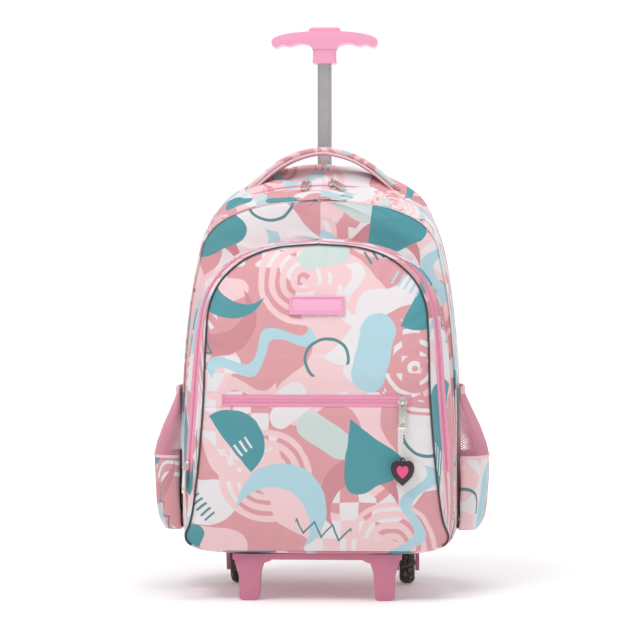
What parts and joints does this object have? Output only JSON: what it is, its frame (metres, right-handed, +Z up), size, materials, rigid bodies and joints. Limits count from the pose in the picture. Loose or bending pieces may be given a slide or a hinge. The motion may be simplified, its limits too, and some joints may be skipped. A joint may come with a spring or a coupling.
{
  "type": "wheeled backpack",
  "caption": "Child's backpack of printed cloth with two zipped compartments, stretch side pockets, a sliding trolley handle and a wheeled plastic chassis.",
  "frame": {"origin": "on the floor, under the middle of the object's box", "axes": "+Z up, the bag's front faces -Y, +X to the right of someone who looks at the front"},
  "size_m": [0.376, 0.2708, 0.6395],
  "materials": {
    "printed_cloth": "matte woven cloth with a soft abstract print",
    "piping_cord": "dark woven piping",
    "zip_tape": "woven zip tape with a nylon coil",
    "nickel": "plated die-cast metal",
    "label_plastic": "soft moulded label, bare",
    "net": "open knitted net",
    "pad_cloth": "padded woven cloth",
    "binding": "elastic binding",
    "webbing": "woven webbing",
    "grip_plastic": "satin moulded plastic",
    "chassis_plastic": "satin moulded plastic",
    "pole_metal": "satin drawn tube",
    "tyre_rubber": "moulded rubber",
    "hub_plastic": "moulded plastic",
    "adjuster_plastic": "moulded plastic",
    "charm_dark": "soft moulded plastic",
    "charm_pink": "enamelled plastic"
  },
  "bodies": {
    "bag": {"main_compartment": "printed_cloth", "main_front_wall": "printed_cloth", "front_compartment": "printed_cloth", "main_zipper": "zip_tape", "front_zipper": "zip_tape", "pocket_zipper": "zip_tape", "front_piping": "piping_cord", "main_slider_left": "nickel", "main_slider_right": "nickel", "front_slider": "nickel", "pocket_slider": "nickel", "pocket_pull": "nickel", "charm_chain": "nickel", "charm": "charm_dark", "charm_inset": "charm_pink", "label": "label_plastic", "pocket_cloth_right": "printed_cloth", "pocket_cloth_left": "printed_cloth", "pocket_net_right": "net", "pocket_net_left": "net", "pocket_binding_right": "binding", "pocket_binding_left": "binding", "grab_handle": "printed_cloth", "grab_handle_underside": "net", "back_panel": "pad_cloth", "shoulder_strap_right": "pad_cloth", "shoulder_strap_left": "pad_cloth", "strap_adjuster_right": "adjuster_plastic", "strap_adjuster_left": "adjuster_plastic", "strap_webbing_right": "webbing", "strap_webbing_left": "webbing", "trolley_tube": "pole_metal", "chassis": "chassis_plastic", "axle_left": "nickel", "axle_right": "nickel"},
    "handle": {"pole": "pole_metal", "trolley_grip": "grip_plastic"},
    "button": {"trolley_button": "grip_plastic"},
    "wheel_left": {"tyre_left": "tyre_rubber", "hub_left": "hub_plastic"},
    "wheel_right": {"tyre_right": "tyre_rubber", "hub_right": "hub_plastic"},
    "pull_left": {"main_pull_left": "nickel"},
    "pull_right": {"main_pull_right": "nickel"},
    "pull_side": {"front_pull": "nickel"}
  },
  "joints": [
    {"name": "handle_slide", "type": "slide", "parent": "bag", "child": "handle", "axis": [0, 0, 1], "range_m": [-0.114, 0.25]},
    {"name": "button_press", "type": "slide", "parent": "handle", "child": "button", "axis": [0, 0, -1], "range_m": [0, 0.004], "stiffness_N_per_m": 400, "springref_m": -0.002},
    {"name": "wheel_left_spin", "type": "hinge", "parent": "bag", "child": "wheel_left", "pos_m": [-0.096, 0.04452, 0.0235], "axis": [1, 0, 0], "continuous": true},
    {"name": "wheel_right_spin", "type": "hinge", "parent": "bag", "child": "wheel_right", "pos_m": [0.096, 0.04452, 0.0235], "axis": [1, 0, 0], "continuous": true},
    {"name": "pull_left_flip", "type": "hinge", "parent": "bag", "child": "pull_left", "pos_m": [-0.01724, 0.01367, 0.45691], "axis": [-0.9945, 0.1038, -0.0109], "range_deg": [0, 110]},
    {"name": "pull_right_flip", "type": "hinge", "parent": "bag", "child": "pull_right", "pos_m": [0.01224, 0.01363, 0.45699], "axis": [-0.8203, -0.5403, -0.1875], "range_deg": [0, 110]},
    {"name": "pull_side_flip", "type": "hinge", "parent": "bag", "child": "pull_side", "pos_m": [-0.14386, -0.09541, 0.14328], "axis": [-0.4027, 0.9153, 0], "range_deg": [0, 110]}
  ]
}
